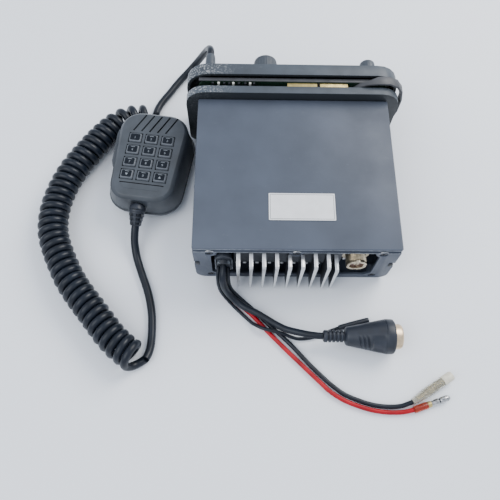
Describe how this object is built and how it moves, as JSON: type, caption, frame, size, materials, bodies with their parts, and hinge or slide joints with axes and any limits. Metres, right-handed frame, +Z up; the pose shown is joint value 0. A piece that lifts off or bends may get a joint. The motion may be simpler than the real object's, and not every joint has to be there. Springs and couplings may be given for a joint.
{
  "type": "mobile radio transceiver",
  "caption": "Mobile radio lying on its lid, with finned heat sink, parted front panel, keypad hand microphone on a coiled cord, round accessory plug and bullet power leads.",
  "frame": {"origin": "centre of the case's flat resting face, which is the set's top cover as it lies upside down", "axes": "+Z up from the resting face, +Y towards the front panel, +X towards the antenna socket"},
  "size_m": [0.3321, 0.3222, 0.0702],
  "materials": {
    "case_paint": "fine matte texture",
    "panel_plastic": "fine matte texture, scuffed",
    "cast_aluminium": "satin, machined edges",
    "screw_steel": "blackened",
    "socket_metal": "satin",
    "brown_resin": "moulded",
    "black_rubber": "satin",
    "seal_rubber": "matte",
    "board_green": "solder-masked laminate",
    "gold_pad": "satin",
    "display_plastic": "moulded",
    "clear_window": "polished",
    "part_steel": "plated",
    "mic_plastic": "satin face, polished sides",
    "key_plastic": "satin",
    "label_white": "printed film",
    "cord_black": "satin",
    "lead_red": "satin",
    "plug_metal": "plated",
    "pin_steel": "polished",
    "clear_sleeve": "clear"
  },
  "bodies": {
    "unit": {"case_body": "case_paint", "underside_cover": "case_paint", "heat_sink": "cast_aluminium", "rear_screw_1": "screw_steel", "rear_screw_2": "screw_steel", "rear_screw_3": "screw_steel", "rear_screw_4": "screw_steel", "rear_screw_5": "screw_steel", "antenna_socket": "socket_metal", "antenna_insulator": "brown_resin", "cable_gland": "black_rubber", "mic_cord_boot": "black_rubber", "accessory_plug": "black_rubber", "rear_cowl": "panel_plastic", "front_bezel": "panel_plastic", "seal_ring": "seal_rubber", "display_board": "board_green", "main_board": "board_green", "board_connector": "gold_pad", "lcd_module": "display_plastic", "lcd_window": "clear_window", "speaker": "part_steel", "volume_pot": "part_steel", "channel_encoder": "part_steel", "rating_label": "label_white", "mic_cord_radio_lead": "cord_black", "mic_cord_coil": "cord_black", "mic_cord_mic_lead": "cord_black", "accessory_cable": "cord_black", "power_lead_black": "cord_black", "thin_lead": "cord_black", "power_lead_red": "lead_red", "accessory_plug_shell": "plug_metal", "bullet_pin": "pin_steel", "bullet_socket": "clear_sleeve"},
    "volume_knob": {"volume_knob": "panel_plastic", "volume_shaft": "part_steel"},
    "channel_knob": {"channel_knob": "panel_plastic", "channel_shaft": "part_steel"},
    "panel_key_1": {"panel_key_1": "key_plastic"},
    "panel_key_2": {"panel_key_2": "key_plastic"},
    "panel_key_3": {"panel_key_3": "key_plastic"},
    "panel_key_4": {"panel_key_4": "key_plastic"},
    "mic": {"mic_front_shell": "mic_plastic", "mic_back_shell": "mic_plastic", "mic_board": "board_green", "mic_boot": "black_rubber"},
    "mic_ptt": {"mic_ptt_lever": "mic_plastic"},
    "mic_key_1": {"mic_key_1": "key_plastic"},
    "mic_key_2": {"mic_key_2": "key_plastic"},
    "mic_key_3": {"mic_key_3": "key_plastic"},
    "mic_key_4": {"mic_key_4": "key_plastic"},
    "mic_key_5": {"mic_key_5": "key_plastic"},
    "mic_key_6": {"mic_key_6": "key_plastic"},
    "mic_key_7": {"mic_key_7": "key_plastic"},
    "mic_key_8": {"mic_key_8": "key_plastic"},
    "mic_key_9": {"mic_key_9": "key_plastic"},
    "mic_key_10": {"mic_key_10": "key_plastic"},
    "mic_key_11": {"mic_key_11": "key_plastic"},
    "mic_key_12": {"mic_key_12": "key_plastic"}
  },
  "joints": [
    {"name": "volume_turn", "type": "hinge", "parent": "unit", "child": "volume_knob", "pos_m": [-0.0219, 0.0925, 0.048], "axis": [0, 1, 0], "range_deg": [-150, 150]},
    {"name": "channel_turn", "type": "hinge", "parent": "unit", "child": "channel_knob", "pos_m": [0.066, 0.0925, 0.049], "axis": [0, 1, 0], "continuous": true},
    {"name": "panel_key_1_press", "type": "slide", "parent": "unit", "child": "panel_key_1", "axis": [0, -1, 0], "range_m": [0, 0.001], "stiffness_N_per_m": 600, "springref_m": -0.0005},
    {"name": "panel_key_2_press", "type": "slide", "parent": "unit", "child": "panel_key_2", "axis": [0, -1, 0], "range_m": [0, 0.001], "stiffness_N_per_m": 600, "springref_m": -0.0005},
    {"name": "panel_key_3_press", "type": "slide", "parent": "unit", "child": "panel_key_3", "axis": [0, -1, 0], "range_m": [0, 0.001], "stiffness_N_per_m": 600, "springref_m": -0.0005},
    {"name": "panel_key_4_press", "type": "slide", "parent": "unit", "child": "panel_key_4", "axis": [0, -1, 0], "range_m": [0, 0.001], "stiffness_N_per_m": 600, "springref_m": -0.0005},
    {"name": "mic_lift", "type": "slide", "parent": "unit", "child": "mic", "axis": [0, 0, 1], "range_m": [0, 0.06]},
    {"name": "mic_ptt_press", "type": "slide", "parent": "mic", "child": "mic_ptt", "axis": [0.9925, -0.1219, 0], "range_m": [0, 0.0015], "stiffness_N_per_m": 1200, "springref_m": -0.0005},
    {"name": "mic_key_1_press", "type": "slide", "parent": "mic", "child": "mic_key_1", "axis": [0, 0, -1], "range_m": [0, 0.0008], "stiffness_N_per_m": 600, "springref_m": -0.0005},
    {"name": "mic_key_2_press", "type": "slide", "parent": "mic", "child": "mic_key_2", "axis": [0, 0, -1], "range_m": [0, 0.0008], "stiffness_N_per_m": 600, "springref_m": -0.0005},
    {"name": "mic_key_3_press", "type": "slide", "parent": "mic", "child": "mic_key_3", "axis": [0, 0, -1], "range_m": [0, 0.0008], "stiffness_N_per_m": 600, "springref_m": -0.0005},
    {"name": "mic_key_4_press", "type": "slide", "parent": "mic", "child": "mic_key_4", "axis": [0, 0, -1], "range_m": [0, 0.0008], "stiffness_N_per_m": 600, "springref_m": -0.0005},
    {"name": "mic_key_5_press", "type": "slide", "parent": "mic", "child": "mic_key_5", "axis": [0, 0, -1], "range_m": [0, 0.0008], "stiffness_N_per_m": 600, "springref_m": -0.0005},
    {"name": "mic_key_6_press", "type": "slide", "parent": "mic", "child": "mic_key_6", "axis": [0, 0, -1], "range_m": [0, 0.0008], "stiffness_N_per_m": 600, "springref_m": -0.0005},
    {"name": "mic_key_7_press", "type": "slide", "parent": "mic", "child": "mic_key_7", "axis": [0, 0, -1], "range_m": [0, 0.0008], "stiffness_N_per_m": 600, "springref_m": -0.0005},
    {"name": "mic_key_8_press", "type": "slide", "parent": "mic", "child": "mic_key_8", "axis": [0, 0, -1], "range_m": [0, 0.0008], "stiffness_N_per_m": 600, "springref_m": -0.0005},
    {"name": "mic_key_9_press", "type": "slide", "parent": "mic", "child": "mic_key_9", "axis": [0, 0, -1], "range_m": [0, 0.0008], "stiffness_N_per_m": 600, "springref_m": -0.0005},
    {"name": "mic_key_10_press", "type": "slide", "parent": "mic", "child": "mic_key_10", "axis": [0, 0, -1], "range_m": [0, 0.0008], "stiffness_N_per_m": 600, "springref_m": -0.0005},
    {"name": "mic_key_11_press", "type": "slide", "parent": "mic", "child": "mic_key_11", "axis": [0, 0, -1], "range_m": [0, 0.0008], "stiffness_N_per_m": 600, "springref_m": -0.0005},
    {"name": "mic_key_12_press", "type": "slide", "parent": "mic", "child": "mic_key_12", "axis": [0, 0, -1], "range_m": [0, 0.0008], "stiffness_N_per_m": 600, "springref_m": -0.0005}
  ]
}
